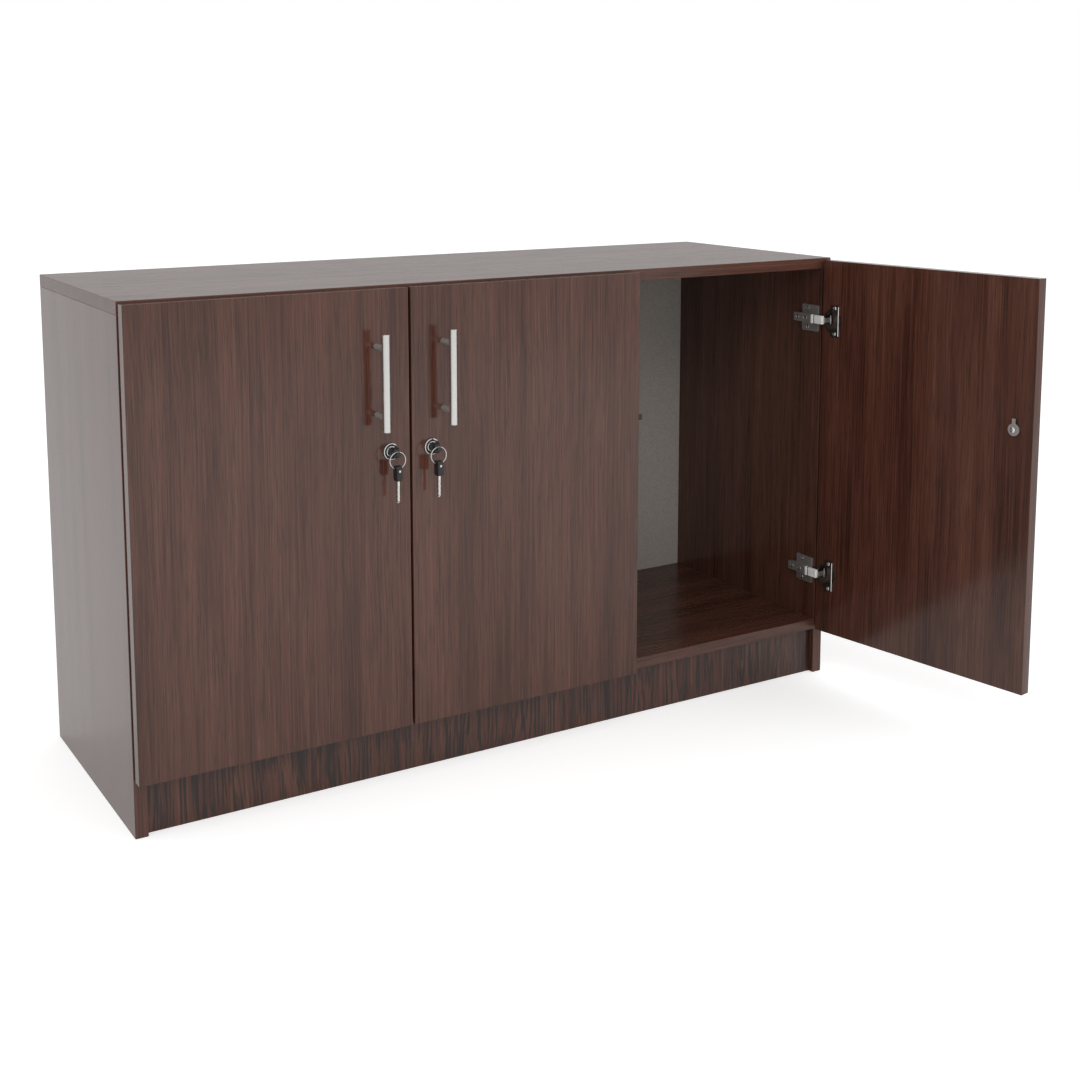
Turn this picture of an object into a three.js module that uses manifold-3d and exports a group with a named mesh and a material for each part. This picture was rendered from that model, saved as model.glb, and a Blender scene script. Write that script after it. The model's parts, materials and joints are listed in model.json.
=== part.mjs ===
// Office credenza: a low three-bay cabinet with overlay doors on concealed hinges,
// round T-bar handles, cam locks and a key set on each lock.
// Millimetres, Z up. The front faces -Y. The origin lies on the floor, under the middle of the plinth board.
import * as THREE from 'three';
import { mergeVertices } from 'three/addons/utils/BufferGeometryUtils.js';
import Module from 'manifold-3d';

// Carcass
const cabinetWidth = 1200;
const cabinetDepth = 400;
const cabinetHeight = 720;
const boardThickness = 18;
const backThickness = 8;
const plinthHeight = 78;
const plinthThickness = 18;
const plinthSetback = 10;

// Doors
const doorThickness = 18;
const doorGapBehind = 3;
const doorGapBetween = 4;
const doorSideReveal = 1.5;
const doorTopReveal = 3;
const doorBottomReveal = 2.5;
const rightDoorOpening = 99;

// Concealed hinges: a cup bored into the door turns on a pin that a gooseneck arm reaches into it
const hingeEndDistance = 100;
const pivotInset = 8;
const pivotDepth = 11;
const pinRadius = 1.2;
const pinLength = 15.4;
const knuckleRadius = 2.2;
const armThickness = 1.8;
const armWidth = 8;
const gooseneckReach = 15.2;
const gooseneckDip = 7;
const armBaseHeight = 8;
const armBaseWidth = 14;
const armBaseLength = 52;
const armBaseInset = 5;
const gooseneckRun = 10;
const cupRadius = 17.5;
const cupWall = 0.7;
const cupSideClearance = 1.5;
const cupFloorClearance = 1.1;
const flangeThickness = 1.2;
const flangeRimRadius = 19;
const flangeWingHeight = 53;
const flangeWingWidth = 17;
const flangeWingShift = 5;
const plateThickness = 2.5;
const plateLength = 40;
const plateHeight = 45;
const plateCornerRadius = 3;

// T-bar handles
const handleInset = 50;
const handleDrop = 127;
const barRadius = 6;
const barLength = 136;
const barStandOff = 32;
const postRadius = 4;
const postSpacing = 96;

// Cam locks
const lockInset = 30;
const lockDrop = 102;
const lockFlangeRadius = 12;
const lockFlangeThickness = 4;
const lockFlangeChamfer = 1.2;
const lockBarrelRadius = 8.7;
const lockBarrelTail = 3;
const plugRadius = 6;
const plugFrontRecess = 0.8;
const plugStubRadius = 3;
const plugStubLength = 3.4;
const keywayDepth = 19;
const camDiscRadius = 9.5;
const camThickness = 2;
const camTongueReach = 17;
const camTongueWidth = 6;
const strikeThickness = 1.5;
const strikeHeight = 9;
const strikeClearOfCam = 4.5;

// Keys and split rings
const bladeWidth = 4;
const bladeThickness = 3.2;
const headThickness = 8.5;
const headWidth = 14;
const headHeight = 22;
const headCornerRadius = 3.5;
const headHoleRadius = 2.2;
const headRim = 2.6;
const insertedHeadLength = 16;
const spareBladeLength = 31;
const ringRadius = 12;
const ringWireRadius = 1;
const neckRadius = 1.6;
const neckLength = 4;
const knobRadius = 3.6;
const knobLength = 2.5;

// Clearances, overlaps and rounding
const seatGap = 0.3;
const runningGap = 0.3;
const boreGap = 0.3;
const cutOvershoot = 1;
const joinOverlap = 1;
const weldDistance = 1e-4;
const roundSides = 24;
const smallSides = 12;

// Places worked out from the sizes
const frontY = -(plinthSetback + plinthThickness / 2);
const backY = frontY + cabinetDepth;
const backInnerY = backY - backThickness;
const halfWidth = cabinetWidth / 2;
const innerHalfWidth = halfWidth - boardThickness;
const underTop = cabinetHeight - boardThickness;
const bayFloor = plinthHeight + boardThickness;
const bayWidth = (2 * innerHalfWidth - 2 * boardThickness) / 3;
const partitionX = (bayWidth + boardThickness) / 2;
const halfBoard = boardThickness / 2;
const doorBottom = plinthHeight + doorBottomReveal;
const doorTop = cabinetHeight - doorTopReveal;
const doorInnerY = frontY - doorGapBehind;
const handleHeight = doorTop - handleDrop;
const lockHeight = handleHeight - lockDrop;
const cupCentreInset = pivotInset - knuckleRadius - cupSideClearance - cupWall + cupRadius;
const cupDepth = pivotDepth + knuckleRadius + cupFloorClearance + cupWall;
const camPlane = lockBarrelTail + seatGap;
const camToStrike = camDiscRadius + strikeClearOfCam;
const hingeHeights = { upper: doorTop - hingeEndDistance, lower: doorBottom + hingeEndDistance };

// hand is +1 for a door hinged at its +X edge and -1 for one hinged at its -X edge
const doors = [
  {
    name: 'left',
    hand: -1,
    hingeEdge: -(halfWidth - doorSideReveal),
    freeEdge: -(partitionX + doorGapBetween / 2),
    hingeFace: -innerHalfWidth,
    opening: 0,
  },
  {
    name: 'middle',
    hand: 1,
    hingeEdge: partitionX - doorGapBetween / 2,
    freeEdge: -(partitionX - doorGapBetween / 2),
    hingeFace: partitionX - halfBoard,
    opening: 0,
  },
  {
    name: 'right',
    hand: 1,
    hingeEdge: halfWidth - doorSideReveal,
    freeEdge: partitionX + doorGapBetween / 2,
    hingeFace: innerHalfWidth,
    opening: rightDoorOpening,
  },
];

const finishes = {
  laminate: { color: 0x3a2622, roughness: 0.35, metalness: 0 },
  backBoard: { color: 0x6b645e, roughness: 0.6, metalness: 0 },
  steel: { color: 0xc9c9c7, roughness: 0.3, metalness: 1 },
  nickel: { color: 0xa9a6a2, roughness: 0.35, metalness: 1 },
  bronze: { color: 0x2e1f1a, roughness: 0.45, metalness: 0.3 },
  chrome: { color: 0xdededc, roughness: 0.12, metalness: 1 },
  blackPlastic: { color: 0x1b1a19, roughness: 0.5, metalness: 0 },
};

const wasm = await Module();
wasm.setup();

function toSolid(geometry) {
  const bare = geometry.clone();
  bare.deleteAttribute('normal');
  bare.deleteAttribute('uv');
  const welded = mergeVertices(bare, weldDistance);
  return new wasm.Manifold(new wasm.Mesh({
    numProp: 3,
    vertProperties: new Float32Array(welded.attributes.position.array),
    triVerts: new Uint32Array(welded.index.array),
  }));
}

function toGeometry(solid) {
  const mesh = solid.getMesh();
  const geometry = new THREE.BufferGeometry();
  geometry.setAttribute('position', new THREE.BufferAttribute(new Float32Array(mesh.vertProperties), 3));
  geometry.setIndex(new THREE.BufferAttribute(new Uint32Array(mesh.triVerts), 1));
  geometry.computeVertexNormals();
  return geometry;
}

function joined(...geometries) {
  return toGeometry(geometries.map(toSolid).reduce((whole, next) => whole.add(next)));
}

function cut(geometry, ...tools) {
  return toGeometry(tools.map(toSolid).reduce((whole, tool) => whole.subtract(tool), toSolid(geometry)));
}

// A box between two values on each axis, given in either order
function boxBetween([x0, x1], [y0, y1], [z0, z1]) {
  const geometry = new THREE.BoxGeometry(Math.abs(x1 - x0), Math.abs(y1 - y0), Math.abs(z1 - z0));
  return geometry.translate((x0 + x1) / 2, (y0 + y1) / 2, (z0 + z1) / 2);
}

function cylinderAlongY(radius, [y0, y1], x, z, sides = roundSides) {
  const geometry = new THREE.CylinderGeometry(radius, radius, Math.abs(y1 - y0), sides);
  return geometry.translate(x, (y0 + y1) / 2, z);
}

function cylinderAlongZ(radius, [z0, z1], x, y, sides = roundSides) {
  const geometry = new THREE.CylinderGeometry(radius, radius, Math.abs(z1 - z0), sides);
  return geometry.rotateX(Math.PI / 2).translate(x, y, (z0 + z1) / 2);
}

function cylinderAlongX(radius, [x0, x1], y, z, sides = roundSides) {
  const geometry = new THREE.CylinderGeometry(radius, radius, Math.abs(x1 - x0), sides);
  return geometry.rotateZ(Math.PI / 2).translate((x0 + x1) / 2, y, z);
}

// A solid of revolution about the Y axis, from [radius, y] points that start and end on the axis
function turnedAlongY(points, x, z, sides = roundSides) {
  const profile = points.map(([radius, y]) => new THREE.Vector2(radius, y));
  return new THREE.LatheGeometry(profile, sides).translate(x, 0, z);
}

// A rectangle with rounded corners, centred on the origin of its own plane
function roundedRectangle(width, height, radius) {
  const halfW = width / 2;
  const halfH = height / 2;
  const shape = new THREE.Shape();
  shape.moveTo(-halfW + radius, -halfH);
  shape.lineTo(halfW - radius, -halfH);
  shape.absarc(halfW - radius, -halfH + radius, radius, -Math.PI / 2, 0);
  shape.lineTo(halfW, halfH - radius);
  shape.absarc(halfW - radius, halfH - radius, radius, 0, Math.PI / 2);
  shape.lineTo(-halfW + radius, halfH);
  shape.absarc(-halfW + radius, halfH - radius, radius, Math.PI / 2, Math.PI);
  shape.lineTo(-halfW, -halfH + radius);
  shape.absarc(-halfW + radius, -halfH + radius, radius, Math.PI, Math.PI * 1.5);
  return shape;
}

function extruded(shape, depth) {
  const cornerSteps = 4;
  return new THREE.ExtrudeGeometry(shape, { depth, bevelEnabled: false, curveSegments: cornerSteps });
}

// A strip of even thickness along a bent centre line, with mitred corners
function stripShape(points, thickness) {
  const line = points.map(([x, y]) => new THREE.Vector2(x, y));
  const sides = line.map((point, index) => {
    const before = line[Math.max(index - 1, 0)];
    const after = line[Math.min(index + 1, line.length - 1)];
    const arriving = point.clone().sub(before).normalize();
    const leaving = after.clone().sub(point).normalize();
    const along = arriving.clone().add(leaving).normalize();
    const straightness = along.dot(index === 0 ? leaving : arriving);
    const reach = thickness / 2 / straightness;
    return new THREE.Vector2(-along.y, along.x).multiplyScalar(reach);
  });
  const outline = line.map((point, index) => point.clone().add(sides[index]));
  const returning = line.map((point, index) => point.clone().sub(sides[index])).reverse();
  return new THREE.Shape([...outline, ...returning]);
}

const credenza = new THREE.Group();

function place(group, name, geometry, finish) {
  const mesh = new THREE.Mesh(geometry, new THREE.MeshStandardMaterial(finishes[finish]));
  mesh.name = name;
  group.add(mesh);
}

function buildCarcass(group) {
  const fullDepth = [frontY, backY];
  const bayDepth = [frontY, backInnerY];
  const innerWidth = [-innerHalfWidth, innerHalfWidth];
  const plinthFront = frontY + plinthSetback;
  const boards = {
    top_panel: [[-halfWidth, halfWidth], fullDepth, [underTop, cabinetHeight]],
    left_side_panel: [[-halfWidth, -innerHalfWidth], fullDepth, [0, underTop]],
    right_side_panel: [[innerHalfWidth, halfWidth], fullDepth, [0, underTop]],
    bottom_panel: [innerWidth, bayDepth, [plinthHeight, bayFloor]],
    left_partition: [[-partitionX - halfBoard, -partitionX + halfBoard], bayDepth, [bayFloor, underTop]],
    right_partition: [[partitionX - halfBoard, partitionX + halfBoard], bayDepth, [bayFloor, underTop]],
    plinth: [innerWidth, [plinthFront, plinthFront + plinthThickness], [0, plinthHeight]],
  };
  for (const [name, limits] of Object.entries(boards)) {
    place(group, name, boxBetween(...limits), 'laminate');
  }
  const back = boxBetween(innerWidth, [backInnerY, backY], [plinthHeight, underTop]);
  place(group, 'back_panel', back, 'backBoard');
}

// Flat plates on the partitions' front edges, which the locks' cams turn behind.
// The right one starts at mid-edge, clear of the middle door's swinging hinge edge.
function buildStrikePlates(group) {
  const reach = (door) => {
    const lockX = door.freeEdge + door.hand * lockInset;
    return lockX - door.hand * camToStrike;
  };
  const [left, middle, right] = doors;
  const strikeDepth = [frontY - strikeThickness, frontY];
  const strikeZ = [lockHeight - strikeHeight / 2, lockHeight + strikeHeight / 2];
  const leftStrike = boxBetween([reach(left), reach(middle)], strikeDepth, strikeZ);
  const rightStrike = boxBetween([partitionX, reach(right)], strikeDepth, strikeZ);
  place(group, 'left_strike_plate', leftStrike, 'bronze');
  place(group, 'right_strike_plate', rightStrike, 'bronze');
}

// Mounting plate and gooseneck arm, both fixed to the board that carries the door
function buildHingeFrame(group, door, level) {
  const z = hingeHeights[level];
  const prefix = `${door.name}_${level}_hinge`;
  const inward = -door.hand;
  const xAt = (inset) => door.hingeEdge + inward * inset;
  const yAt = (depth) => doorInnerY - depth;
  const faceInset = Math.abs(door.hingeEdge - door.hingeFace);
  const plateTop = faceInset + plateThickness;
  const baseMiddle = plateTop + armBaseHeight / 2;
  const baseFrontY = frontY + armBaseInset;

  const plate = extruded(roundedRectangle(plateLength, plateHeight, plateCornerRadius), plateThickness);
  plate.rotateX(Math.PI / 2).rotateZ(Math.PI / 2);
  const plateX = Math.min(xAt(faceInset), xAt(plateTop));
  plate.translate(plateX, baseFrontY + plateLength / 2, z);
  place(group, `${prefix}_plate`, plate, 'nickel');

  const dip = THREE.MathUtils.degToRad(gooseneckDip);
  const elbow = [pivotInset + gooseneckReach * Math.cos(dip), pivotDepth + gooseneckReach * Math.sin(dip)];
  const outOfCup = [elbow[0], -doorGapBehind - armBaseInset];
  const intoBase = [baseMiddle, outOfCup[1] - gooseneckRun];
  const path = [[pivotInset, pivotDepth], elbow, outOfCup, intoBase].map(([u, v]) => [xAt(u), yAt(v)]);
  const neck = extruded(stripShape(path, armThickness), armWidth).translate(0, 0, z - armWidth / 2);
  const knuckleZ = [z - armWidth / 2, z + armWidth / 2];
  const pivot = [xAt(pivotInset), yAt(pivotDepth)];
  const knuckle = cylinderAlongZ(knuckleRadius, knuckleZ, ...pivot, smallSides);
  const base = boxBetween(
    [xAt(plateTop), xAt(plateTop + armBaseHeight)],
    [baseFrontY, baseFrontY + armBaseLength],
    [z - armBaseWidth / 2, z + armBaseWidth / 2],
  );
  const eye = cylinderAlongZ(pinRadius + runningGap, [z - armWidth, z + armWidth], ...pivot, smallSides);
  place(group, `${prefix}_arm`, cut(joined(neck, knuckle, base), eye), 'nickel');
}

// Everything from here on is built about the door's own hinge axis, with the door shut.
// alongDoor measures from the hinge edge, outward from the door's inner face towards the front.
function doorFrame(door) {
  const width = Math.abs(door.hingeEdge - door.freeEdge);
  return {
    width,
    alongDoor: (inset) => -door.hand * (inset - pivotInset),
    outward: (depth) => pivotDepth - depth,
    lockX: -door.hand * (width - lockInset - pivotInset),
    handleX: -door.hand * (width - handleInset - pivotInset),
    frontFace: pivotDepth - doorThickness,
    innerFace: pivotDepth,
  };
}

function buildDoorLeaf(group, door, at) {
  const slab = boxBetween(
    [at.alongDoor(0), at.alongDoor(at.width)],
    [at.innerFace, at.frontFace],
    [doorBottom, doorTop],
  );
  const cupX = at.alongDoor(cupCentreInset);
  const boreY = [at.innerFace + cutOvershoot, at.outward(cupDepth + boreGap)];
  const boreRadius = cupRadius + boreGap;
  const cupBores = Object.values(hingeHeights).map((z) => cylinderAlongY(boreRadius, boreY, cupX, z));
  const lockY = [at.innerFace + cutOvershoot, at.frontFace - cutOvershoot];
  const lockBore = cylinderAlongY(lockBarrelRadius + boreGap, lockY, at.lockX, lockHeight);
  place(group, `${door.name}_door`, cut(slab, ...cupBores, lockBore), 'laminate');
}

function buildHingeCup(group, door, at, level) {
  const z = hingeHeights[level];
  const prefix = `${door.name}_${level}_hinge`;
  const x = at.alongDoor(cupCentreInset);
  const flangeY = [at.innerFace + seatGap, at.innerFace + seatGap + flangeThickness];
  const well = cylinderAlongY(cupRadius, [flangeY[1], at.outward(cupDepth)], x, z);
  const rim = cylinderAlongY(flangeRimRadius, flangeY, x, z);
  const wingShape = roundedRectangle(flangeWingWidth, flangeWingHeight, plateCornerRadius);
  const wing = extruded(wingShape, flangeThickness);
  wing.rotateX(Math.PI / 2);
  wing.translate(at.alongDoor(cupCentreInset + flangeWingShift), flangeY[1], z);
  const hollowY = [flangeY[1] + cutOvershoot, at.outward(cupDepth - cupWall)];
  const hollow = cylinderAlongY(cupRadius - cupWall, hollowY, x, z);
  place(group, `${prefix}_cup`, cut(joined(well, rim, wing), hollow), 'nickel');
  const pinZ = [z - pinLength / 2, z + pinLength / 2];
  place(group, `${prefix}_pin`, cylinderAlongZ(pinRadius, pinZ, 0, 0, smallSides), 'nickel');
}

function buildHandle(group, door, at) {
  const barY = at.frontFace - barStandOff;
  const barZ = [handleHeight - barLength / 2, handleHeight + barLength / 2];
  const bar = cylinderAlongZ(barRadius, barZ, at.handleX, barY);
  const posts = [-1, 1].map((side) => {
    const z = handleHeight + side * postSpacing / 2;
    return cylinderAlongY(postRadius, [at.frontFace - seatGap, barY], at.handleX, z, smallSides);
  });
  place(group, `${door.name}_handle`, joined(bar, ...posts), 'steel');
}

function buildLock(group, door, at) {
  const x = at.lockX;
  const z = lockHeight;
  const flangeBack = at.frontFace - seatGap;
  const flangeFront = flangeBack - lockFlangeThickness;
  const barrelEnd = at.innerFace + lockBarrelTail;
  const body = turnedAlongY([
    [0, flangeFront],
    [lockFlangeRadius - lockFlangeChamfer, flangeFront],
    [lockFlangeRadius, flangeFront + lockFlangeChamfer],
    [lockFlangeRadius, flangeBack],
    [lockBarrelRadius, flangeBack],
    [lockBarrelRadius, barrelEnd],
    [0, barrelEnd],
  ], x, z);
  const plugBoreY = [flangeFront - cutOvershoot, barrelEnd + cutOvershoot];
  const plugBore = cylinderAlongY(plugRadius + runningGap, plugBoreY, x, z);
  place(group, `${door.name}_lock_housing`, cut(body, plugBore), 'chrome');

  const plugFront = flangeFront + plugFrontRecess;
  const stubEnd = at.innerFace + camPlane + plugStubLength;
  const plug = turnedAlongY([
    [0, plugFront],
    [plugRadius, plugFront],
    [plugRadius, barrelEnd],
    [plugStubRadius, barrelEnd],
    [plugStubRadius, stubEnd],
    [0, stubEnd],
  ], x, z);
  const keywayX = bladeThickness / 2 + runningGap;
  const keywayZ = bladeWidth / 2 + runningGap;
  const keyway = boxBetween(
    [x - keywayX, x + keywayX],
    [plugFront - cutOvershoot, plugFront + keywayDepth],
    [z - keywayZ, z + keywayZ],
  );
  place(group, `${door.name}_lock_plug`, cut(plug, keyway), 'chrome');

  const camY = [at.innerFace + camPlane, at.innerFace + camPlane + camThickness];
  const disc = cylinderAlongY(camDiscRadius, camY, x, z);
  const tongue = boxBetween([x - camTongueWidth / 2, x + camTongueWidth / 2], camY, [z, z + camTongueReach]);
  const stubHoleY = [camY[0] - cutOvershoot, camY[1] + cutOvershoot];
  const stubHole = cylinderAlongY(plugStubRadius + seatGap, stubHoleY, x, z, smallSides);
  place(group, `${door.name}_lock_cam`, cut(joined(disc, tongue), stubHole), 'nickel');
  return plugFront;
}

// The key in the lock carries the split ring on a round neck, and the spare key hangs from the ring
function buildKeySet(group, door, at, plugFront) {
  const x = at.lockX;
  const z = lockHeight;
  const headBack = plugFront - seatGap - lockFlangeChamfer;
  const headFront = headBack - insertedHeadLength;
  const neckFront = headFront - neckLength;
  const blade = boxBetween(
    [x - bladeThickness / 2, x + bladeThickness / 2],
    [headBack - joinOverlap, plugFront + keywayDepth - runningGap],
    [z - bladeWidth / 2, z + bladeWidth / 2],
  );
  const head = extruded(roundedRectangle(insertedHeadLength, headWidth, headCornerRadius), headThickness);
  head.rotateX(Math.PI / 2).rotateZ(Math.PI / 2);
  head.translate(x - headThickness / 2, (headBack + headFront) / 2, z);
  const neckY = [headFront + joinOverlap, neckFront - joinOverlap];
  const neck = cylinderAlongY(neckRadius, neckY, x, z, smallSides);
  const knob = cylinderAlongY(knobRadius, [neckFront, neckFront - knobLength], x, z, smallSides);
  place(group, `${door.name}_key`, joined(blade, head, neck, knob), 'blackPlastic');

  const ringY = (headFront + neckFront) / 2;
  const ringZ = z + neckRadius + seatGap - (ringRadius - ringWireRadius);
  const wireSides = 6;
  const ringSteps = 28;
  const ring = new THREE.TorusGeometry(ringRadius, ringWireRadius, wireSides, ringSteps);
  ring.rotateX(Math.PI / 2).translate(x, ringY, ringZ);
  place(group, `${door.name}_key_ring`, ring, 'chrome');

  // Across the head's thickness the wire climbs, so the hole's top clears it at both faces
  const ringBore = ringRadius - ringWireRadius;
  const wireClimb = ringBore - Math.sqrt(ringBore ** 2 - (headThickness / 2) ** 2);
  const holeZ = ringZ - ringBore + wireClimb + seatGap - headHoleRadius;
  const headTop = holeZ + headHoleRadius + headRim;
  const spareHead = extruded(roundedRectangle(headWidth, headHeight, headCornerRadius), headThickness);
  spareHead.rotateX(Math.PI / 2).rotateZ(Math.PI / 2);
  spareHead.translate(x - headThickness / 2, ringY, headTop - headHeight / 2);
  const spareBlade = boxBetween(
    [x - bladeThickness / 2, x + bladeThickness / 2],
    [ringY - bladeWidth / 2, ringY + bladeWidth / 2],
    [headTop - headHeight + joinOverlap, headTop - headHeight - spareBladeLength],
  );
  const holeX = [x - headThickness, x + headThickness];
  const hole = cylinderAlongX(headHoleRadius, holeX, ringY, holeZ, smallSides);
  place(group, `${door.name}_spare_key`, cut(joined(spareHead, spareBlade), hole), 'blackPlastic');
}

function buildDoor(door) {
  const leaf = new THREE.Group();
  leaf.position.set(door.hingeEdge - door.hand * pivotInset, doorInnerY - pivotDepth, 0);
  leaf.rotation.z = door.hand * THREE.MathUtils.degToRad(door.opening);
  const at = doorFrame(door);
  buildDoorLeaf(leaf, door, at);
  for (const level of Object.keys(hingeHeights)) {
    buildHingeCup(leaf, door, at, level);
    buildHingeFrame(credenza, door, level);
  }
  buildHandle(leaf, door, at);
  const plugFront = buildLock(leaf, door, at);
  buildKeySet(leaf, door, at, plugFront);
  credenza.add(leaf);
}

buildCarcass(credenza);
buildStrikePlates(credenza);
doors.forEach(buildDoor);

export default credenza;
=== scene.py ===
import json
import math
import bmesh
import bpy
import numpy as np
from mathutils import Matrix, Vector


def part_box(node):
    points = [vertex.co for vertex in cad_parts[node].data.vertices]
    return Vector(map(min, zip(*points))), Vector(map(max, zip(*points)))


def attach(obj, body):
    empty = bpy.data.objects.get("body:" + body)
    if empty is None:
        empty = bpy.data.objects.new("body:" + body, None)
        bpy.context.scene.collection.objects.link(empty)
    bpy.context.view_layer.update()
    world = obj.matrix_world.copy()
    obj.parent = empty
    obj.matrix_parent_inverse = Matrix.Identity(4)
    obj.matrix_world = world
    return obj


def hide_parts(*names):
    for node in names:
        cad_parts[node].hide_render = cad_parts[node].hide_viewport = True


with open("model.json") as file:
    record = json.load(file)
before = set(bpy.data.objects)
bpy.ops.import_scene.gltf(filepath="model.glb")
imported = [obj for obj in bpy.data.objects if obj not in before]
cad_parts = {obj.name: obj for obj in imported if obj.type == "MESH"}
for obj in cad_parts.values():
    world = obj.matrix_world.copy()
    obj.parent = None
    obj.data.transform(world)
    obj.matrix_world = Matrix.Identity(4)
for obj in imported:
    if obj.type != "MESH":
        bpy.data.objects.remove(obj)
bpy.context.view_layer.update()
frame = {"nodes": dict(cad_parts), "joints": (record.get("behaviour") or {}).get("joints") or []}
nodes = frame["nodes"]
jointAt = {joint["name"]: np.array(joint["pos_m"]) for joint in frame["joints"]}
print("frame loaded:", len(nodes), "nodes")

# Lengths are in metres and angles in degrees; the front faces -Y, and the floor is at Z 0

# Camera: the lens shift keeps the pitch small, so the uprights stay nearly parallel, as photographed
cameraSet = dict(
    place=(-1.1285, -1.9151, 0.9443), yaw=31.406, pitch=7.617,
    lens=50.26, sensor=36, shiftY=-0.20,
)
cameraData = bpy.data.cameras.new("camera")
cameraData.lens = cameraSet["lens"]
cameraData.sensor_width = cameraSet["sensor"]
cameraData.shift_y = cameraSet["shiftY"]
camera = bpy.data.objects.new("camera", cameraData)
camera.location = cameraSet["place"]
camera.rotation_euler = (math.radians(90 - cameraSet["pitch"]), 0, -math.radians(cameraSet["yaw"]))
bpy.context.scene.collection.objects.link(camera)
bpy.context.scene.camera = camera
bpy.context.scene.view_settings.view_transform = "Standard"
print("camera set")


# A socket that takes part in Python arithmetic: each operator adds one Math node
class Wire:
    def __init__(self, tree, socket):
        self.tree = tree
        self.socket = socket

    def join(self, operation, first, second):
        return make(self.tree, "ShaderNodeMath", {"operation": operation}, {0: first, 1: second})

    def __add__(self, other):
        return self.join("ADD", self, other)

    def __radd__(self, other):
        return self.join("ADD", other, self)

    def __sub__(self, other):
        return self.join("SUBTRACT", self, other)

    def __rsub__(self, other):
        return self.join("SUBTRACT", other, self)

    def __mul__(self, other):
        return self.join("MULTIPLY", self, other)

    def __rmul__(self, other):
        return self.join("MULTIPLY", other, self)


# Any node: settings first (a ramp's stops among them), then its sockets' values or links;
# an output node has nothing to hand on, so its out is None
def make(tree, kind, settings=None, sockets=None, out=0):
    node = tree.nodes.new(kind)
    for key, value in (settings or {}).items():
        if key == "stops":
            setStops(node.color_ramp.elements, value)
        else:
            setattr(node, key, value)
    for key, value in (sockets or {}).items():
        if isinstance(value, Wire):
            tree.links.new(value.socket, node.inputs[key])
        else:
            node.inputs[key].default_value = value
    return None if out is None else Wire(tree, node.outputs[out])


# A new ramp has two stops: the missing ones go between them, then each gets its own place and colour
def setStops(ramp, stops):
    while len(ramp) < len(stops):
        ramp.new(0.5)
    for element, (position, colour) in zip(ramp, stops):
        element.position = position
        element.color = (*colour, 1)


def newMaterial(name):
    material = bpy.data.materials.new(name)
    material.use_nodes = True
    material.node_tree.nodes.clear()
    return material, material.node_tree


def closeMaterial(tree, surface):
    make(tree, "ShaderNodeOutputMaterial", None, {"Surface": surface}, out=None)


def colourRamp(tree, value, stops, colours):
    return make(tree, "ShaderNodeValToRGB", {"stops": list(zip(stops, colours))}, {"Fac": value})


def bumpFrom(tree, height, strength, distance):
    return make(tree, "ShaderNodeBump", None,
                {"Height": height, "Strength": strength, "Distance": distance})


def shaded(colour, factor):
    return tuple(channel * factor for channel in colour)


noiseMean = 0.5  # a noise node's value swings about this


# Noise on Object coordinates (or a given place), stretched by the scale on each axis
def stretchedNoise(tree, scale, detail, roughness, place=None):
    place = place or make(tree, "ShaderNodeTexCoord", out="Object")
    mapped = make(tree, "ShaderNodeMapping", None, {"Vector": place, "Scale": scale})
    return make(tree, "ShaderNodeTexNoise", None,
                {"Vector": mapped, "Scale": 1.0, "Detail": detail, "Roughness": roughness}, out="Fac")


# Noise drawn out along the grain axis (0, 1 or 2); coarse makes its marks wider and longer
def grainNoise(tree, grainAxis, layer, place=None, coarse=1.0):
    scale = tuple(layer["along" if axis == grainAxis else "across"] / coarse for axis in range(3))
    return stretchedNoise(tree, scale, layer["detail"], layer["roughness"], place)


laminateSet = dict(
    dark=(0.030, 0.0105, 0.0070), middle=(0.080, 0.029, 0.0185), light=(0.122, 0.050, 0.033),
    stops=(0.36, 0.50, 0.64), pore=(0.019, 0.0115, 0.0095), poreSpan=0.1, ior=1.49,
    wander=dict(across=7.0, along=2.6, detail=2.0, roughness=0.5),
    bands=dict(across=25.2, along=1.68, detail=4.0, roughness=0.5),
    fibres=dict(across=360.0, along=4.2, detail=8.0, roughness=0.68),
    pores=dict(across=760.0, along=17.0, detail=3.0, roughness=0.6),
    bandShare=0.42, fibreShare=0.58, relief=0.5, bumpStrength=0.07, bumpDistance=0.0004,
    poreDull=0.12, fibreDull=0.08,
)


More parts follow.
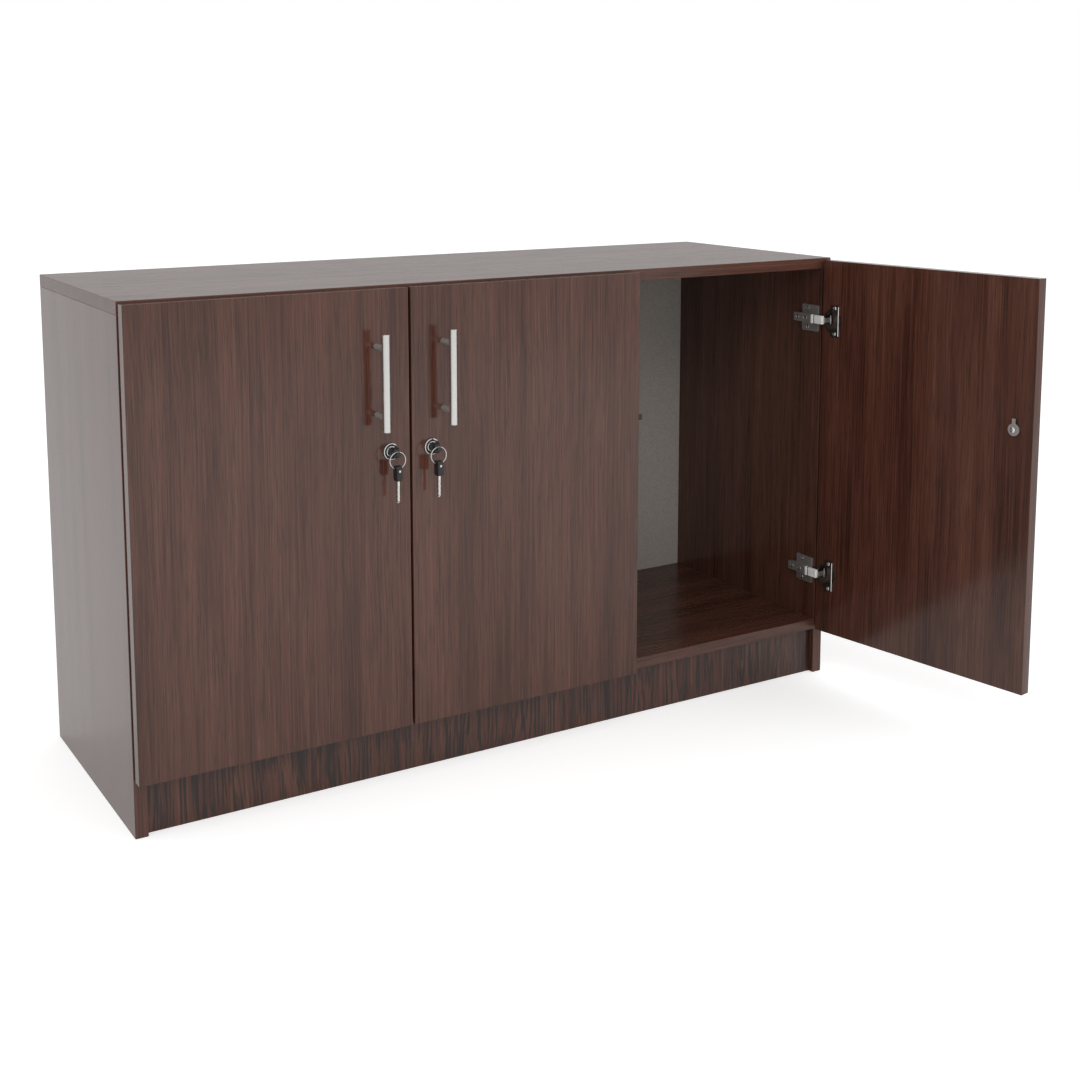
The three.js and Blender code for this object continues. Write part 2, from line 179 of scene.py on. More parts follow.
# Wood print: broad bands, fine fibres and short dark pores, all drawn out along the grain axis;
# a slow wander bends them by up to about half of bend, and depth is how dark the pores get
def laminate(name, grainAxis, roughness, coarse=1.0, depth=0.6, bend=0.010, poreFrom=0.53):
    material, tree = newMaterial(name)
    wood = laminateSet
    wander = (grainNoise(tree, grainAxis, wood["wander"]) - noiseMean) * bend
    sideways = make(tree, "ShaderNodeCombineXYZ", None,
                    {axis: 0.0 if axis == grainAxis else wander for axis in range(3)})
    place = make(tree, "ShaderNodeVectorMath", {"operation": "ADD"},
                 {0: make(tree, "ShaderNodeTexCoord", out="Object"), 1: sideways})
    bands = grainNoise(tree, grainAxis, wood["bands"], place)
    fibres = grainNoise(tree, grainAxis, wood["fibres"], place)
    pores = grainNoise(tree, grainAxis, wood["pores"], place, coarse)
    tone = bands * wood["bandShare"] + fibres * wood["fibreShare"]
    colour = colourRamp(tree, tone, wood["stops"], (wood["dark"], wood["middle"], wood["light"]))
    poreMask = make(tree, "ShaderNodeMapRange", None,
                    {"Value": pores, "From Min": poreFrom, "From Max": poreFrom + wood["poreSpan"],
                     "To Min": 0.0, "To Max": depth})
    # Inputs 6 and 7 and output 2 are the Mix node's colours
    stained = make(tree, "ShaderNodeMix", {"data_type": "RGBA"},
                   {"Factor": poreMask, 6: colour, 7: (*wood["pore"], 1)}, out=2)
    height = (fibres - poreMask) * wood["relief"]
    bump = bumpFrom(tree, height, wood["bumpStrength"], wood["bumpDistance"])
    rough = poreMask * wood["poreDull"] + (fibres - noiseMean) * wood["fibreDull"] + roughness
    closeMaterial(tree, make(tree, "ShaderNodeBsdfPrincipled", None,
                             {"Base Color": stained, "Roughness": rough, "Normal": bump,
                              "IOR": wood["ior"]}))
    return material


metalSet = dict(
    detail=4.0, grain=0.6, bumpStrength=0.05, bumpDistance=0.0002, darker=0.82, stops=(0.3, 0.7),
)


# Metal with fine scratches, drawn out along the axis that has the smallest scale
def brushedMetal(name, colour, roughness, scale, contrast, metallic=1.0):
    material, tree = newMaterial(name)
    metal = metalSet
    scratch = stretchedNoise(tree, scale, metal["detail"], metal["grain"])
    rough = (scratch - noiseMean) * contrast + roughness
    bump = bumpFrom(tree, scratch, metal["bumpStrength"], metal["bumpDistance"])
    tint = colourRamp(tree, scratch, metal["stops"], (shaded(colour, metal["darker"]), colour))
    closeMaterial(tree, make(tree, "ShaderNodeBsdfPrincipled", None,
                             {"Base Color": tint, "Roughness": rough, "Metallic": metallic,
                              "Normal": bump}))
    return material


mottleSet = dict(
    detail=3.0, grain=0.5, bumpDistance=0.0003, darker=0.8, lighter=1.12, stops=(0.3, 0.7), dull=0.15,
)


# Moulded plastic or plain board: a faint mottle in colour, roughness and height
def mottled(name, colour, roughness, scale, depth):
    material, tree = newMaterial(name)
    paint = mottleSet
    mottle = stretchedNoise(tree, (scale, scale, scale), paint["detail"], paint["grain"])
    tones = (shaded(colour, paint["darker"]), shaded(colour, paint["lighter"]))
    tint = colourRamp(tree, mottle, paint["stops"], tones)
    bump = bumpFrom(tree, mottle, depth, paint["bumpDistance"])
    rough = mottle * paint["dull"] + roughness
    closeMaterial(tree, make(tree, "ShaderNodeBsdfPrincipled", None,
                             {"Base Color": tint, "Roughness": rough, "Normal": bump}))
    return material


finish = dict(
    upright=laminate("laminateUpright", grainAxis=2, roughness=0.12),
    lengthwise=laminate("laminateLengthwise", grainAxis=0, roughness=0.27),
    plinth=laminate("laminatePlinth", grainAxis=2, roughness=0.22,
                    coarse=2.6, depth=1.0, bend=0.045, poreFrom=0.47),
    backBoard=mottled("backBoard", (0.40, 0.37, 0.335), roughness=0.42, scale=420.0, depth=0.03),
    handle=brushedMetal("handleSteel", (0.66, 0.65, 0.63), roughness=0.26,
                        scale=(2600.0, 2600.0, 60.0), contrast=0.18),
    post=brushedMetal("postSteel", (0.56, 0.55, 0.53), roughness=0.38,
                      scale=(900.0, 60.0, 900.0), contrast=0.1, metallic=0.65),
    nickel=brushedMetal("hingeNickel", (0.42, 0.40, 0.38), roughness=0.36,
                        scale=(500.0, 500.0, 500.0), contrast=0.12, metallic=0.75),
    block=brushedMetal("hingeBlock", (0.96, 0.95, 0.93), roughness=0.36,
                       scale=(700.0, 700.0, 700.0), contrast=0.1, metallic=0.15),
    chrome=brushedMetal("lockChrome", (0.74, 0.74, 0.73), roughness=0.11,
                        scale=(900.0, 900.0, 900.0), contrast=0.06),
    blade=brushedMetal("keySteel", (0.70, 0.69, 0.66), roughness=0.22,
                       scale=(1800.0, 1800.0, 120.0), contrast=0.12),
    bronze=mottled("strikeBronze", (0.030, 0.018, 0.014), roughness=0.45, scale=900.0, depth=0.08),
    cup=brushedMetal("cupSteel", (0.20, 0.17, 0.155), roughness=0.34,
                     scale=(500.0, 500.0, 500.0), contrast=0.12),
    plastic=mottled("keyPlastic", (0.014, 0.013, 0.013), roughness=0.38, scale=1500.0, depth=0.12),
)
print("materials made:", len(finish))

meshSet = dict(weld=1e-6, smoothAngle=35)


# Points that coincide become one, and the faces are turned outward
def weldDoubles(mesh):
    shape = bmesh.new()
    shape.from_mesh(mesh)
    bmesh.ops.remove_doubles(shape, verts=shape.verts, dist=meshSet["weld"])
    bmesh.ops.recalc_face_normals(shape, faces=shape.faces)
    shape.to_mesh(mesh)
    shape.free()


# A grid of points (rows, columns, 3) becomes a mesh whose columns close on themselves;
# loopRows closes the rows too, and without it the end rows are meant to meet at a point
def gridPiece(name, points, material, body, loopRows=False):
    rows, columns = points.shape[:2]
    row = np.arange(rows if loopRows else rows - 1)[:, None]
    column = np.arange(columns)[None, :]
    nextRow = (row + 1) % rows
    nextColumn = (column + 1) % columns
    corners = [row * columns + column, row * columns + nextColumn,
               nextRow * columns + nextColumn, nextRow * columns + column]
    faces = np.stack(corners, -1).reshape(-1, 4)
    mesh = bpy.data.meshes.new(name)
    mesh.from_pydata(points.reshape(-1, 3).tolist(), [], faces.tolist())
    weldDoubles(mesh)
    mesh.shade_smooth()
    mesh.set_sharp_from_angle(angle=math.radians(meshSet["smoothAngle"]))
    mesh.materials.append(material)
    piece = bpy.data.objects.new(name, mesh)
    bpy.context.scene.collection.objects.link(piece)
    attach(piece, body)
    return piece


nearlyAlong = 0.85  # past this share of its length, a direction counts as running along an axis


# Two unit vectors square to an axis, so that rings round it can be written as cos and sin
def squareTo(axis):
    axis = np.array(axis, float)
    helper = np.array([0, 0, 1.0]) if abs(axis[2]) < nearlyAlong else np.array([1.0, 0, 0])
    side = np.cross(helper, axis)
    side /= np.linalg.norm(side)
    return axis / np.linalg.norm(axis), side, np.cross(axis, side)


# Surface of revolution: each profile pair (radius, height) is carried round the axis
def turned(profile, centre, axis, steps=48):
    radius, height = np.array(profile, float).T
    along, side, up = squareTo(axis)
    angle = np.linspace(0, 2 * np.pi, steps, endpoint=False)
    ring = np.cos(angle)[:, None] * side + np.sin(angle)[:, None] * up
    return np.array(centre) + radius[:, None, None] * ring[None] + height[:, None, None] * along


# One more row at each end, with all its points at the middle of the row that it closes
def closeEnds(rows):
    first, last = (np.broadcast_to(row.mean(0), row.shape) for row in (rows[0], rows[-1]))
    return np.concatenate([first[None], rows, last[None]])


# A circle carried along a path of points, closed at both ends
def tube(path, radius, sides=12):
    path = np.array(path, float)
    tangent = np.gradient(path, axis=0)
    tangent /= np.linalg.norm(tangent, axis=1, keepdims=True)
    helper = np.where(np.abs(tangent[:, 1:2]) < nearlyAlong, [[0, 1.0, 0]], [[1.0, 0, 0]])
    side = np.cross(helper, tangent)
    side /= np.linalg.norm(side, axis=1, keepdims=True)
    up = np.cross(tangent, side)
    angle = np.linspace(0, 2 * np.pi, sides, endpoint=False)
    ring = np.cos(angle)[None, :, None] * side[:, None] + np.sin(angle)[None, :, None] * up[:, None]
    return closeEnds(path[:, None] + radius * ring)


plateSet = dict(cornerSteps=8, edgeSteps=5, leastCorner=0.1)


# Outline of a rectangle with rounded corners: four quarter circles, one about each corner's own centre
def roundedOutline(width, height, corner):
    angle = np.linspace(0, np.pi / 2, plateSet["cornerSteps"])
    quarters = []
    for quarter, (signX, signY) in enumerate(((1, 1), (-1, 1), (-1, -1), (1, -1))):
        swing = angle + quarter * np.pi / 2
        centre = np.array([signX * (width / 2 - corner), signY * (height / 2 - corner)])
        quarters.append(centre + corner * np.stack([np.cos(swing), np.sin(swing)], -1))
    return np.concatenate(quarters)


# A flat outline's points, all at one height
def atLevel(outline, z):
    return np.concatenate([outline, np.full((len(outline), 1), z)], 1)


# A plate with rounded corners and rounded edges: the outline, drawn in by the edge radius, at each
# station through the thickness; a point closes each face, or a round hole (across, up, radius) joins them.
# With the rows comes whether they close into a loop
def plate(width, height, thickness, corner, edge, hole=None):
    swing = np.linspace(0, np.pi / 2, plateSet["edgeSteps"])
    inset = edge * (1 - np.sin(swing))
    level = thickness / 2 - edge + edge * np.cos(swing)
    rows = []
    for drawnIn, z in list(zip(inset, level)) + list(zip(inset[::-1], -level[::-1])):
        cornerLeft = max(corner - drawnIn, corner * plateSet["leastCorner"])
        rows.append(atLevel(roundedOutline(width - 2 * drawnIn, height - 2 * drawnIn, cornerLeft), z))
    rows = np.stack(rows)
    if hole is None:
        return closeEnds(rows), False
    across, up, radius = hole
    angle = np.arctan2(rows[0][:, 1] - up, rows[0][:, 0] - across)
    circle = np.stack([across + radius * np.cos(angle), up + radius * np.sin(angle)], -1)
    rim = np.stack([atLevel(circle, z) for z in (-thickness / 2, thickness / 2)])
    return np.concatenate([rows, rim]), True


screwSet = dict(rings=22, steps=48, fall=0.75, armHalf=0.13, armReach=0.62, crossDepth=0.6)


# A screw head on a polar grid: a low dome, its height falling as the square root of 1 less a share of the
# radius squared, with a cross pressed into it
def crossHead(centre, axis, radius, height):
    head = screwSet
    along, side, up = squareTo(axis)
    reach = radius * np.linspace(1, 0, head["rings"])[:, None]
    angle = np.linspace(0, 2 * np.pi, head["steps"], endpoint=False)
    across = reach * np.cos(angle)
    over = reach * np.sin(angle)
    dome = height * np.sqrt(1 - head["fall"] * (reach / radius) ** 2)
    inArm = np.minimum(np.abs(across), np.abs(over)) < radius * head["armHalf"]
    cross = inArm & (np.hypot(across, over) < radius * head["armReach"])
    lift = dome - np.where(cross, height * head["crossDepth"], 0)
    top = np.array(centre) + across[..., None] * side + over[..., None] * up + lift[..., None] * along
    foot = top[:1] - lift[:1, :, None] * along
    middle = np.broadcast_to(np.array(centre, float), foot.shape)
    return np.concatenate([middle, foot, top])


edgeSet = dict(
    board=0.0007, door=0.0009, hinge=0.0003, cup=0, boardSegments=3, smallSegments=2,
    weld=1e-5, flatAngle=1, sharpAngle=40,
)


# CAD solids: their loose triangles are joined, flattened to whole faces, and the edges softened
# by the given width, or left sharp where it is 0
def soften(node, material, width, segments):
    piece = nodes[node]
    piece.data.materials.clear()
    piece.data.materials.append(material)
    weld = piece.modifiers.new("weld", "WELD")
    weld.merge_threshold = edgeSet["weld"]
    whole = piece.modifiers.new("wholeFaces", "DECIMATE")
    whole.decimate_type = "DISSOLVE"
    whole.angle_limit = math.radians(edgeSet["flatAngle"])
    if width == 0:
        return
    edge = piece.modifiers.new("edge", "BEVEL")
    edge.width = width
    edge.segments = segments
    edge.limit_method = "ANGLE"
    edge.angle_limit = math.radians(edgeSet["sharpAngle"])


boardFinish = {
    "top_panel": "lengthwise", "bottom_panel": "lengthwise", "plinth": "plinth", "back_panel": "backBoard",
    "left_side_panel": "upright", "right_side_panel": "upright",
    "left_partition": "upright", "right_partition": "upright",
}
for node, kind in boardFinish.items():
    soften(node, finish[kind], edgeSet["board"], edgeSet["boardSegments"])
hingeFinish = {
    "_hinge_plate": "nickel", "_hinge_arm": "nickel", "_hinge_cup": "cup", "_hinge_pin": "nickel",
    "_lock_cam": "nickel", "_lock_plug": "chrome",
}
for ending, kind in hingeFinish.items():
    for node in [name for name in nodes if name.endswith(ending)]:
        soften(node, finish[kind], edgeSet["cup" if kind == "cup" else "hinge"], edgeSet["smallSegments"])
print("boards and hinges dressed")

# Doors: local places are measured from the hinge axis with the door shut, then turned to rest;
# hand is -1 where the hinges are on the left and 1 on the right, and opening is the angle at rest
doorSet = dict(
    pivotInset=0.008, pivotDepth=0.011, thickness=0.018,
    lockInset=0.030, handleInset=0.050, lockHeight=0.488, handleHeight=0.590,
)
doors = dict(
    left=dict(hand=-1, width=0.3995, opening=0),
    middle=dict(hand=1, width=0.390, opening=0),
    right=dict(hand=1, width=0.3995, opening=99),
)
frontFace = doorSet["pivotDepth"] - doorSet["thickness"]
innerFace = doorSet["pivotDepth"]
outward = (0, -1, 0)  # out of a shut door's front
inside = (0, 1, 0)  # out of its inner face


# Points of a shut door, turned about Z by its opening and moved to its hinge axis
def doorPlace(name, points):
    door = doors[name]
    turn = math.radians(door["hand"] * door["opening"])
    spin = np.array([[math.cos(turn), -math.sin(turn), 0], [math.sin(turn), math.cos(turn), 0], [0, 0, 1]])
    pivot = jointAt[name + "_door_hinge"] * [1, 1, 0]
    return points @ spin.T + pivot


# Distance along X from the hinge axis to a place that is measured from the door's free edge
def alongDoor(name, fromFreeEdge):
    door = doors[name]
    return -door["hand"] * (door["width"] - fromFreeEdge - doorSet["pivotInset"])


handleSet = dict(
    barRadius=0.006, barLength=0.136, standOff=0.032, chamfer=0.0008,
    postRadius=0.004, postSpacing=0.096, postStop=0.0042, seat=0.0003,
)


# Handle: a round bar turned about Z, and two posts turned about Y that end inside the bar,
# postStop from its axis
def buildHandle(name):
    handle = handleSet
    body = name + "_door_leaf"
    x = alongDoor(name, doorSet["handleInset"])
    y = frontFace - handle["standOff"]
    half = handle["barLength"] / 2
    radius = handle["barRadius"]
    chamfer = handle["chamfer"]
    barProfile = [
        (0, -half), (radius - chamfer, -half), (radius, chamfer - half),
        (radius, half - chamfer), (radius - chamfer, half), (0, half),
    ]
    bar = turned(barProfile, (x, y, doorSet["handleHeight"]), (0, 0, 1))
    piece = gridPiece(name + "_handleBar", doorPlace(name, bar), finish["handle"], body)
    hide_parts(name + "_handle")
    reach = handle["standOff"] - handle["postStop"]
    postProfile = [(0, 0), (handle["postRadius"], 0), (handle["postRadius"], reach), (0, reach)]
    for level, side in (("Upper", 1), ("Lower", -1)):
        z = doorSet["handleHeight"] + side * handle["postSpacing"] / 2
        post = turned(postProfile, (x, frontFace - handle["seat"], z), outward)
        gridPiece(f"{name}_handlePost{level}", doorPlace(name, post), finish["post"], body)


lockSet = dict(
    flange=0.012, thick=0.004, barrel=0.0087, bore=0.0063, tail=0.003, seat=0.0003, steps=64,
    footInset=0.0004, footRise=0.0005, wallTop=0.0024, crownFoot=0.00352, crownInset=0.0012, rimWidth=0.002,
    dishFloor=0.002, dishOuter=0.0032, dishInner=0.00264,
    collar=0.0076, collarTip=0.0071, collarSide=0.0038,
    screwRise=0.0067, screwRadius=0.0042, screwHeight=0.0014,
)


# Lock: ring sections turned about Y, as heights over the door's front: a rosette with its barrel,
# a dark dish and a bright collar round the plug. A cross-head screw holds the cam on the inner side
def buildLock(name):
    lock = lockSet
    body = name + "_door_leaf"
    x = alongDoor(name, doorSet["lockInset"])
    z = doorSet["lockHeight"]
    seat = (x, frontFace - lock["seat"], z)
    tail = -(doorSet["thickness"] + lock["seat"] + lock["tail"])
    shoulder = lock["flange"] - lock["footInset"]
    rim = lock["flange"] - lock["rimWidth"]
    rosette = [
        (lock["bore"], tail), (lock["barrel"], tail), (lock["barrel"], 0), (shoulder, 0),
        (lock["flange"], lock["footRise"]), (lock["flange"], lock["wallTop"]),
        (shoulder, lock["crownFoot"]), (lock["flange"] - lock["crownInset"], lock["thick"]),
        (rim, lock["crownFoot"]), (rim, lock["dishFloor"]), (lock["bore"], lock["dishFloor"]),
    ]
    dish = [
        (lock["collar"], lock["dishFloor"]), (rim, lock["dishFloor"]),
        (rim, lock["dishOuter"]), (lock["collar"], lock["dishInner"]),
    ]
    collar = [
        (lock["bore"], lock["dishFloor"]), (lock["collar"], lock["dishFloor"]),
        (lock["collar"], lock["collarSide"]), (lock["collarTip"], lock["thick"]),
        (lock["bore"], lock["thick"]),
    ]
    rosetteShape, dishShape, collarShape = (
        doorPlace(name, turned(section, seat, outward, lock["steps"]))
        for section in (rosette, dish, collar))
    piece = gridPiece(name + "_lockRosette", rosetteShape, finish["chrome"], body, True)
    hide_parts(name + "_lock_housing")
    gridPiece(name + "_lockDish", dishShape, finish["plastic"], body, True)
    gridPiece(name + "_lockCollar", collarShape, finish["chrome"], body, True)
    screwAt = (x, innerFace + lock["screwRise"], z)
    screw = doorPlace(name, crossHead(screwAt, inside, lock["screwRadius"], lock["screwHeight"]))
    gridPiece(name + "_camScrew", screw, finish["chrome"], name + "_lock_turning")


# Plates built in their own plane are stood up so that width runs along Y, height along Z, thickness along X
def standUp(points, centre):
    return points[..., [2, 0, 1]] + np.array(centre)


keySet = dict(
    headLength=0.016, headWidth=0.014, headThick=0.0085, corner=0.0045, headEdge=0.0012,
    recess=0.0008, chamfer=0.0012, gap=0.0003,
    bladeLong=0.019, bladeWide=0.004, bladeThick=0.0032, bladeCorner=0.0006, bladeEdge=0.0003,
    bladeBehind=0.0088,
    neck=0.0016, neckLong=0.004, neckSink=0.001,
    knob=0.0036, knobLong=0.0025, knobBack=0.0005, knobFront=0.0008, steps=32,
)
ringSet = dict(
    radius=0.012, wire=0.001, strand=0.0005, strandShift=0.00052,
    turns=1.97, crossing=(0.85, 1.15), steps=180, sides=10,
)


# Where a door's keys sit: the plug's centre, the head's back and front, and the split ring's centre
def keyPlaces(name):
    key = keySet
    z = doorSet["lockHeight"]
    plugFront = frontFace - lockSet["seat"] - lockSet["thick"] + key["recess"]
    headBack = plugFront - key["gap"] - key["chamfer"]
    headFront = headBack - key["headLength"]
    return dict(
        x=alongDoor(name, doorSet["lockInset"]), z=z, headBack=headBack, headFront=headFront,
        ringY=headFront - key["neckLong"] / 2,
        ringZ=z + key["neck"] + key["gap"] - (ringSet["radius"] - ringSet["wire"]),
    )


# Key in the lock: a rounded head and a blade, both plates, and a neck with a knob, turned about Y
def buildKey(name, at):
    key = keySet
    turning = name + "_lock_turning"
    headCentre = (at["x"], (at["headBack"] + at["headFront"]) / 2, at["z"])
    head, loop = plate(key["headLength"], key["headWidth"], key["headThick"],
                       key["corner"], key["headEdge"])
    piece = gridPiece(name + "_keyHead", doorPlace(name, standUp(head, headCentre)),
                      finish["plastic"], turning, loop)
    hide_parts(name + "_key")
    bladeCentre = (at["x"], at["headBack"] + key["bladeBehind"], at["z"])
    blade, loop = plate(key["bladeLong"], key["bladeWide"], key["bladeThick"],
                        key["bladeCorner"], key["bladeEdge"])
    gridPiece(name + "_keyBlade", doorPlace(name, standUp(blade, bladeCentre)),
              finish["blade"], turning, loop)
    knobStart = key["neckLong"]
    knobEnd = key["neckLong"] + key["knobLong"]
    neckProfile = [
        (0, -key["neckSink"]), (key["neck"], -key["neckSink"]), (key["neck"], knobStart),
        (key["knob"] - key["knobBack"], knobStart), (key["knob"], knobStart + key["knobBack"]),
        (key["knob"], knobEnd - key["knobFront"]), (key["knob"] - key["knobFront"], knobEnd), (0, knobEnd),
    ]
    neck = turned(neckProfile, (at["x"], at["headFront"], at["z"]), outward, key["steps"])
    gridPiece(name + "_keyNeck", doorPlace(name, neck), finish["plastic"], turning)


# Split ring: a fine wire that goes round almost twice; its path is a circle in X and Z, and along Y
# it steps from the front turn to the back one over the crossing
def buildSplitRing(name, at):
    ring = ringSet
    turn = np.linspace(0, ring["turns"], ring["steps"])
    angle = 2 * np.pi * turn
    shift = np.interp(turn, ring["crossing"], (-ring["strandShift"], ring["strandShift"]))
    path = np.stack([
        at["x"] + ring["radius"] * np.sin(angle),
        at["ringY"] + shift,
        at["ringZ"] - ring["radius"] * np.cos(angle),
    ], -1)
    coil = doorPlace(name, tube(path, ring["strand"], ring["sides"]))
    piece = gridPiece(name + "_splitRing", coil, finish["chrome"], name + "_key_set")
    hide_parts(name + "_key_ring")


spareSet = dict(
    headHeight=0.022, holeRadius=0.0022, holeWall=0.0026,
    rivetRadius=0.0017, rivetTop=0.0012, rivetSink=0.0004, rivetSide=0.0002, rivetRise=0.0005,
    rivetUp=0.004, rivetSteps=24,
    bladeLong=0.031, bladeSink=0.001, rows=60, tipSlope=12, tipWidth=0.25,
    nickDepth=0.0007, nicks=5, nickFrom=0.25,
)


# Spare key: its head hangs by its hole from the lowest point of the ring, with a rivet on the front
def buildSpareKey(name, at):
    key = keySet
    spare = spareSet
    hanging = name + "_key_set"
    bore = ringSet["radius"] - ringSet["wire"]
    # The ring's inner edge rises by this much within the head's thickness
    climb = bore - math.sqrt(bore ** 2 - (key["headThick"] / 2) ** 2)
    holeZ = at["ringZ"] - bore + climb + key["gap"] - spare["holeRadius"]
    headTop = holeZ + spare["holeRadius"] + spare["holeWall"]
    headMiddle = headTop - spare["headHeight"] / 2
    hole = (0.0, holeZ - headMiddle, spare["holeRadius"])
    head, loop = plate(key["headWidth"], spare["headHeight"], key["headThick"],
                       key["corner"], key["headEdge"], hole)
    headCentre = (at["x"], at["ringY"], headMiddle)
    piece = gridPiece(name + "_spareHead", doorPlace(name, standUp(head, headCentre)),
                      finish["plastic"], hanging, loop)
    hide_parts(name + "_spare_key")
    rivetProfile = [
        (0, -spare["rivetSink"]), (spare["rivetRadius"], -spare["rivetSink"]),
        (spare["rivetRadius"], spare["rivetSide"]), (spare["rivetTop"], spare["rivetRise"]),
        (0, spare["rivetRise"]),
    ]
    rivetAt = (at["x"], at["ringY"] - key["headWidth"] / 2, headMiddle + spare["rivetUp"])
    rivet = doorPlace(name, turned(rivetProfile, rivetAt, outward, spare["rivetSteps"]))
    gridPiece(name + "_spareRivet", rivet, finish["blade"], hanging)

    # Blade: each row down its length is a rectangle, narrowed at the tip, with its front edge pushed in
    # by the nicks, which run as a zigzag
    row = np.linspace(0, 1, spare["rows"])[:, None]
    zigzag = np.abs((row * spare["nicks"]) % 1 - 0.5) * 2
    nick = spare["nickDepth"] * zigzag * (row > spare["nickFrom"])
    taper = np.clip((1 - row) * spare["tipSlope"], spare["tipWidth"], 1)
    cornerX = np.array([-1, 1, 1, -1])
    cornerY = np.array([-1, -1, 1, 1])
    bladeTop = headTop - spare["headHeight"] + spare["bladeSink"]
    bladeX = at["x"] + cornerX * key["bladeThick"] / 2
    bladeY = at["ringY"] + cornerY * key["bladeWide"] / 2 * taper + np.where(cornerY < 0, nick, 0)
    bladeZ = bladeTop - row * (spare["bladeLong"] + spare["bladeSink"])
    blade = closeEnds(np.stack(np.broadcast_arrays(bladeX, bladeY, bladeZ), -1))
    gridPiece(name + "_spareBlade", doorPlace(name, blade), finish["blade"], hanging)


hingeSet = dict(
    coverReach=(-0.033, -0.0130), coverInset=(0.0144, 0.0196), coverTall=0.014,
    lipReach=(-0.0100, -0.0055), lipInset=(0.0150, 0.0200), lipTall=0.015, corner=0.0012, softEdge=0.0005,
    screwHeight=0.0014, plateScrewRadius=0.0034, plateScrewY=0.012, plateScrewZ=0.016,
    armScrewRadius=0.0038, armScrewsY=(0.010, 0.029), armRise=0.008,
    cupScrewRadius=0.0032, cupCentre=0.0131, wingScrewShift=0.005, wingScrewZ=0.0215, wingThick=0.0015,
    rim=0.0011, rimShift=0.0125, wingHalf=0.0245, wingBend=0.0205,
)


# A plate on the carcass side: reach is its two ends along Y, inset its two faces, measured inward
# from the hinge axis
def fixedPlate(name, reach, inset, tall, inward, z):
    axisX = jointAt[name + "_door_hinge"][0]
    points, loop = plate(reach[1] - reach[0], tall, inset[1] - inset[0],
                         hingeSet["corner"], hingeSet["softEdge"])
    centre = (axisX + inward * sum(inset) / 2, sum(reach) / 2, z)
    return standUp(points, centre), loop


# Hinge trim: a bright cover on the arm's neck, a lip behind it except on the middle door,
# screws on the plate, the arm and the cup's wings, and a pressed rim on the wings' far side
def buildHingeTrim(name, level):
    trim = hingeSet
    prefix = f"{name}_{level}_hinge"
    leaf = name + "_door_leaf"
    inward = -doors[name]["hand"]
    intoBay = (inward, 0, 0)
    plateLow, plateHigh = (np.array(corner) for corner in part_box(prefix + "_plate"))
    z = (plateLow[2] + plateHigh[2]) / 2
    plateFace = plateHigh[0] if inward > 0 else plateLow[0]
    armTop = plateFace + inward * trim["armRise"]
    cover, loop = fixedPlate(name, trim["coverReach"], trim["coverInset"], trim["coverTall"], inward, z)
    gridPiece(prefix + "Block", cover, finish["block"], "carcass", loop)
    if name != "middle":
        lip, loop = fixedPlate(name, trim["lipReach"], trim["lipInset"], trim["lipTall"], inward, z)
        gridPiece(prefix + "Lip", lip, finish["block"], "carcass", loop)
    for mark, side in (("Top", 1), ("Low", -1)):
        at = (plateFace, trim["plateScrewY"], z + side * trim["plateScrewZ"])
        screw = crossHead(at, intoBay, trim["plateScrewRadius"], trim["screwHeight"])
        gridPiece(f"{prefix}PlateScrew{mark}", screw, finish["chrome"], "carcass")
    for mark, y in zip(("Front", "Back"), trim["armScrewsY"]):
        screw = crossHead((armTop, y, z), intoBay, trim["armScrewRadius"], trim["screwHeight"])
        gridPiece(f"{prefix}ArmScrew{mark}", screw, finish["chrome"], "carcass")
    screwX = inward * (trim["cupCentre"] + trim["wingScrewShift"])
    rimX = inward * (trim["cupCentre"] + trim["rimShift"])
    wingFace = innerFace + trim["wingThick"]
    for mark, side in (("Top", 1), ("Low", -1)):
        at = (screwX, wingFace, z + side * trim["wingScrewZ"])
        screw = crossHead(at, inside, trim["cupScrewRadius"], trim["screwHeight"])
        gridPiece(f"{prefix}CupScrew{mark}", doorPlace(name, screw), finish["chrome"], leaf)
    rimSteps = (-trim["wingHalf"], -trim["wingBend"], trim["wingBend"], trim["wingHalf"])
    rim = tube([(rimX, wingFace, z + step) for step in rimSteps], trim["rim"])
    gridPiece(f"{prefix}WingRim", doorPlace(name, rim), finish["chrome"], leaf)


for name in doors:
    soften(name + "_door", finish["upright"], edgeSet["door"], edgeSet["boardSegments"])
    buildHandle(name)
    buildLock(name)
    places = keyPlaces(name)
    buildKey(name, places)
    buildSplitRing(name, places)
    buildSpareKey(name, places)
    for level in ("upper", "lower"):
        buildHingeTrim(name, level)
    print("door dressed:", name)
for node in ("left_strike_plate", "right_strike_plate"):
    soften(node, finish["bronze"], edgeSet["hinge"], edgeSet["smallSegments"])
print("strike plates dressed")

# Stage: a pale floor that keeps the shadow, a white surround, two soft lamps
stageSet = dict(
    floorSize=30.0, floorColour=(0.9, 0.9, 0.9), floorGlow=0.42, floorMirror=0.4,
    white=(1, 1, 1, 1), worldLight=0.80, worldMirror=1.0, mirrorDim=0.25, dimFrom=0.1, dimTo=0.6,
)
half = stageSet["floorSize"] / 2
floorMesh = bpy.data.meshes.new("floor")
floorCorners = [(-half, -half, 0), (half, -half, 0), (half, half, 0), (-half, half, 0)]
floorMesh.from_pydata(floorCorners, [], [(0, 1, 2, 3)])
floor = bpy.data.objects.new("floor", floorMesh)
bpy.context.scene.collection.objects.link(floor)


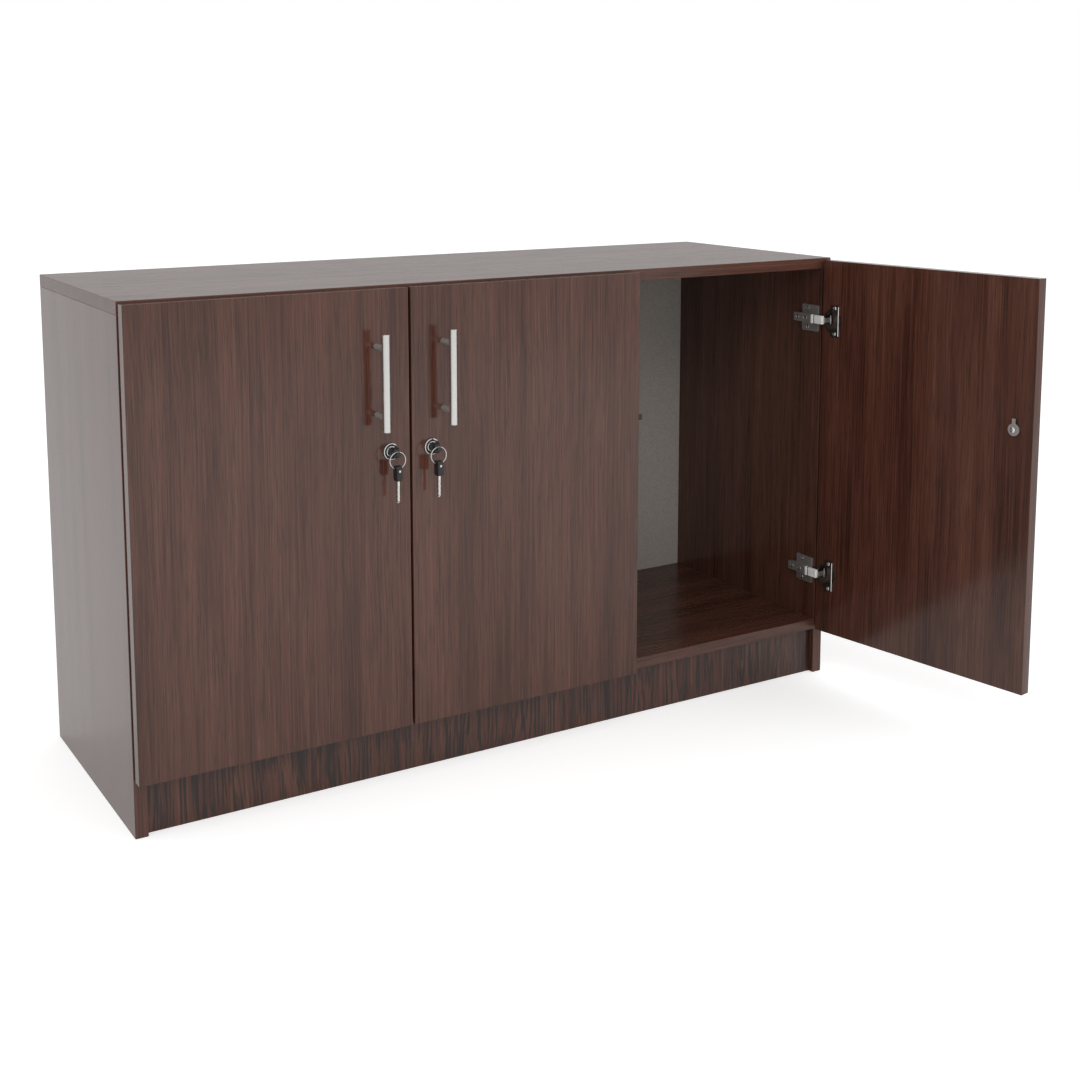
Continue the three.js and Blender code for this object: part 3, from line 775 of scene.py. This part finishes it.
# 1 where the ray comes from the camera or through glass, mirrorShare where it comes from a gloss,
# and 0 for the light that falls on things
def seenDirectly(tree, mirrorShare):
    eye, glossy, through = (make(tree, "ShaderNodeLightPath", out=f"Is {kind} Ray")
                            for kind in ("Camera", "Glossy", "Transmission"))
    ways = eye + through + glossy * mirrorShare
    return make(tree, "ShaderNodeMath", {"operation": "MINIMUM"}, {0: ways, 1: 1.0})


floorMaterial, tree = newMaterial("paleFloor")
matte = make(tree, "ShaderNodeBsdfDiffuse", None, {"Color": (*stageSet["floorColour"], 1)})
glow = make(tree, "ShaderNodeEmission", None,
            {"Color": stageSet["white"], "Strength": stageSet["floorGlow"]})
both = make(tree, "ShaderNodeAddShader", None, {0: matte, 1: glow})
closeMaterial(tree, make(tree, "ShaderNodeMixShader", None,
                         {"Fac": seenDirectly(tree, stageSet["floorMirror"]), 1: matte, 2: both}))
floorMesh.materials.append(floorMaterial)

# The surround is white to the eye, and a little dimmer in mirrors that face the back
world = bpy.data.worlds.new("surround")
bpy.context.scene.world = world
world.use_nodes = True
tree = world.node_tree
tree.nodes.clear()
direction = make(tree, "ShaderNodeTexCoord", out="Generated")
backward = make(tree, "ShaderNodeSeparateXYZ", None, {"Vector": direction}, out="Y")
dim = make(tree, "ShaderNodeMapRange", None,
           {"Value": backward, "From Min": stageSet["dimFrom"], "From Max": stageSet["dimTo"],
            "To Min": 0.0, "To Max": stageSet["mirrorDim"]})
inMirror = make(tree, "ShaderNodeLightPath", out="Is Glossy Ray")
seen = seenDirectly(tree, stageSet["worldMirror"])
strength = seen * (1 - stageSet["worldLight"]) + stageSet["worldLight"] - inMirror * dim
surround = make(tree, "ShaderNodeBackground", None, {"Color": stageSet["white"], "Strength": strength})
make(tree, "ShaderNodeOutputWorld", None, {"Surface": surround}, out=None)

lampSet = dict(
    keyLamp=dict(place=(-1.6, -3.2, 3.0), target=(0, 0, 0.4), size=2.2, power=42.0),
    fillLamp=dict(place=(2.4, -2.8, 1.8), target=(0.2, 0, 0.4), size=1.8, power=18.0),
)


# A round area lamp turned to its target, and not seen in mirrors
def softLamp(name, place, target, size, power):
    lamp = bpy.data.lights.new(name, "AREA")
    lamp.shape = "DISK"
    lamp.size = size
    lamp.energy = power
    holder = bpy.data.objects.new(name, lamp)
    holder.location = place
    holder.visible_glossy = False
    holder.rotation_euler = (Vector(target) - Vector(place)).to_track_quat("-Z", "Y").to_euler()
    bpy.context.scene.collection.objects.link(holder)


for name, lamp in lampSet.items():
    softLamp(name, **lamp)
print("stage and lamps set")
